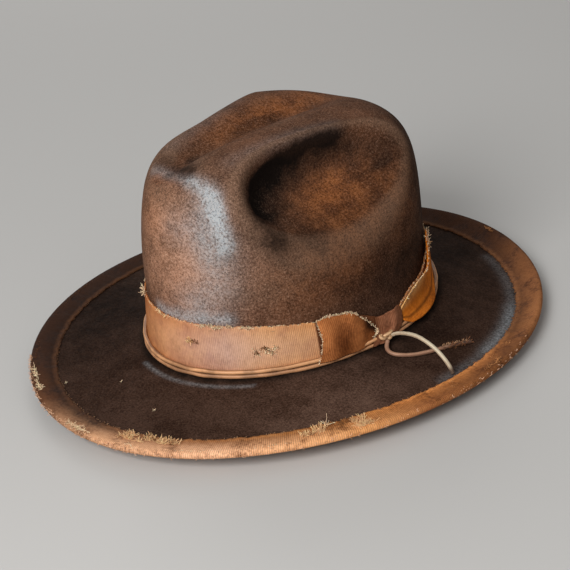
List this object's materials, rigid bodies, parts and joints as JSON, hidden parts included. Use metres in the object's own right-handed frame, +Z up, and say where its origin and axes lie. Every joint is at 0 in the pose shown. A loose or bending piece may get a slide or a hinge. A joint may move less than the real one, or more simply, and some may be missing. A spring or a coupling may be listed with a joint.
{
  "type": "cowboy hat",
  "caption": "Wide-brimmed western felt hat with a centre trough and side dents in its crown, a curled bound brim, a ribbon band with a side bow and a knotted leather lace.",
  "frame": {"origin": "centre of the bounding box on the plane that the brim rests on", "axes": "+Z up, the hat's front (the wearer's face) towards -Y, the wearer's left side with the bow towards +X"},
  "size_m": [0.316, 0.359, 0.1523],
  "materials": {
    "felt": "dark brown fur felt, worn and dusty, with rust-coloured scorched patches",
    "binding": "worn tan grosgrain binding ribbon, frayed",
    "thread": "tan sewing thread",
    "ribbon": "faded tan grosgrain ribbon with fine cross ribs",
    "bow": "rust-orange grosgrain ribbon, frayed",
    "lace": "reddish tan leather lace",
    "lace_end": "cream leather lace end",
    "sweat_leather": "roan leather sweatband",
    "reed": "clear plastic reed",
    "tape": "cotton reed tape",
    "satin": "brown satin lining"
  },
  "bodies": {
    "root": {"felt_body": "felt", "brim_binding": "binding", "binding_stitches": "thread", "ribbon_band": "ribbon", "ribbon_tacks": "thread", "bow_front_loop": "bow", "bow_wrap": "bow", "bow_rear_loop": "bow", "lace_upper_turn": "lace", "lace_lower_turn": "lace", "lace_knot": "lace_end", "lace_arched_end": "lace_end", "lace_lying_end": "lace", "sweatband": "sweat_leather", "sweatband_seam": "sweat_leather", "sweatband_bow": "satin", "sweatband_stitches": "thread", "sweatband_reed": "reed", "reed_tape": "tape", "liner_side": "satin", "liner_piping": "satin", "liner_tip": "satin"}
  },
  "joints": []
}
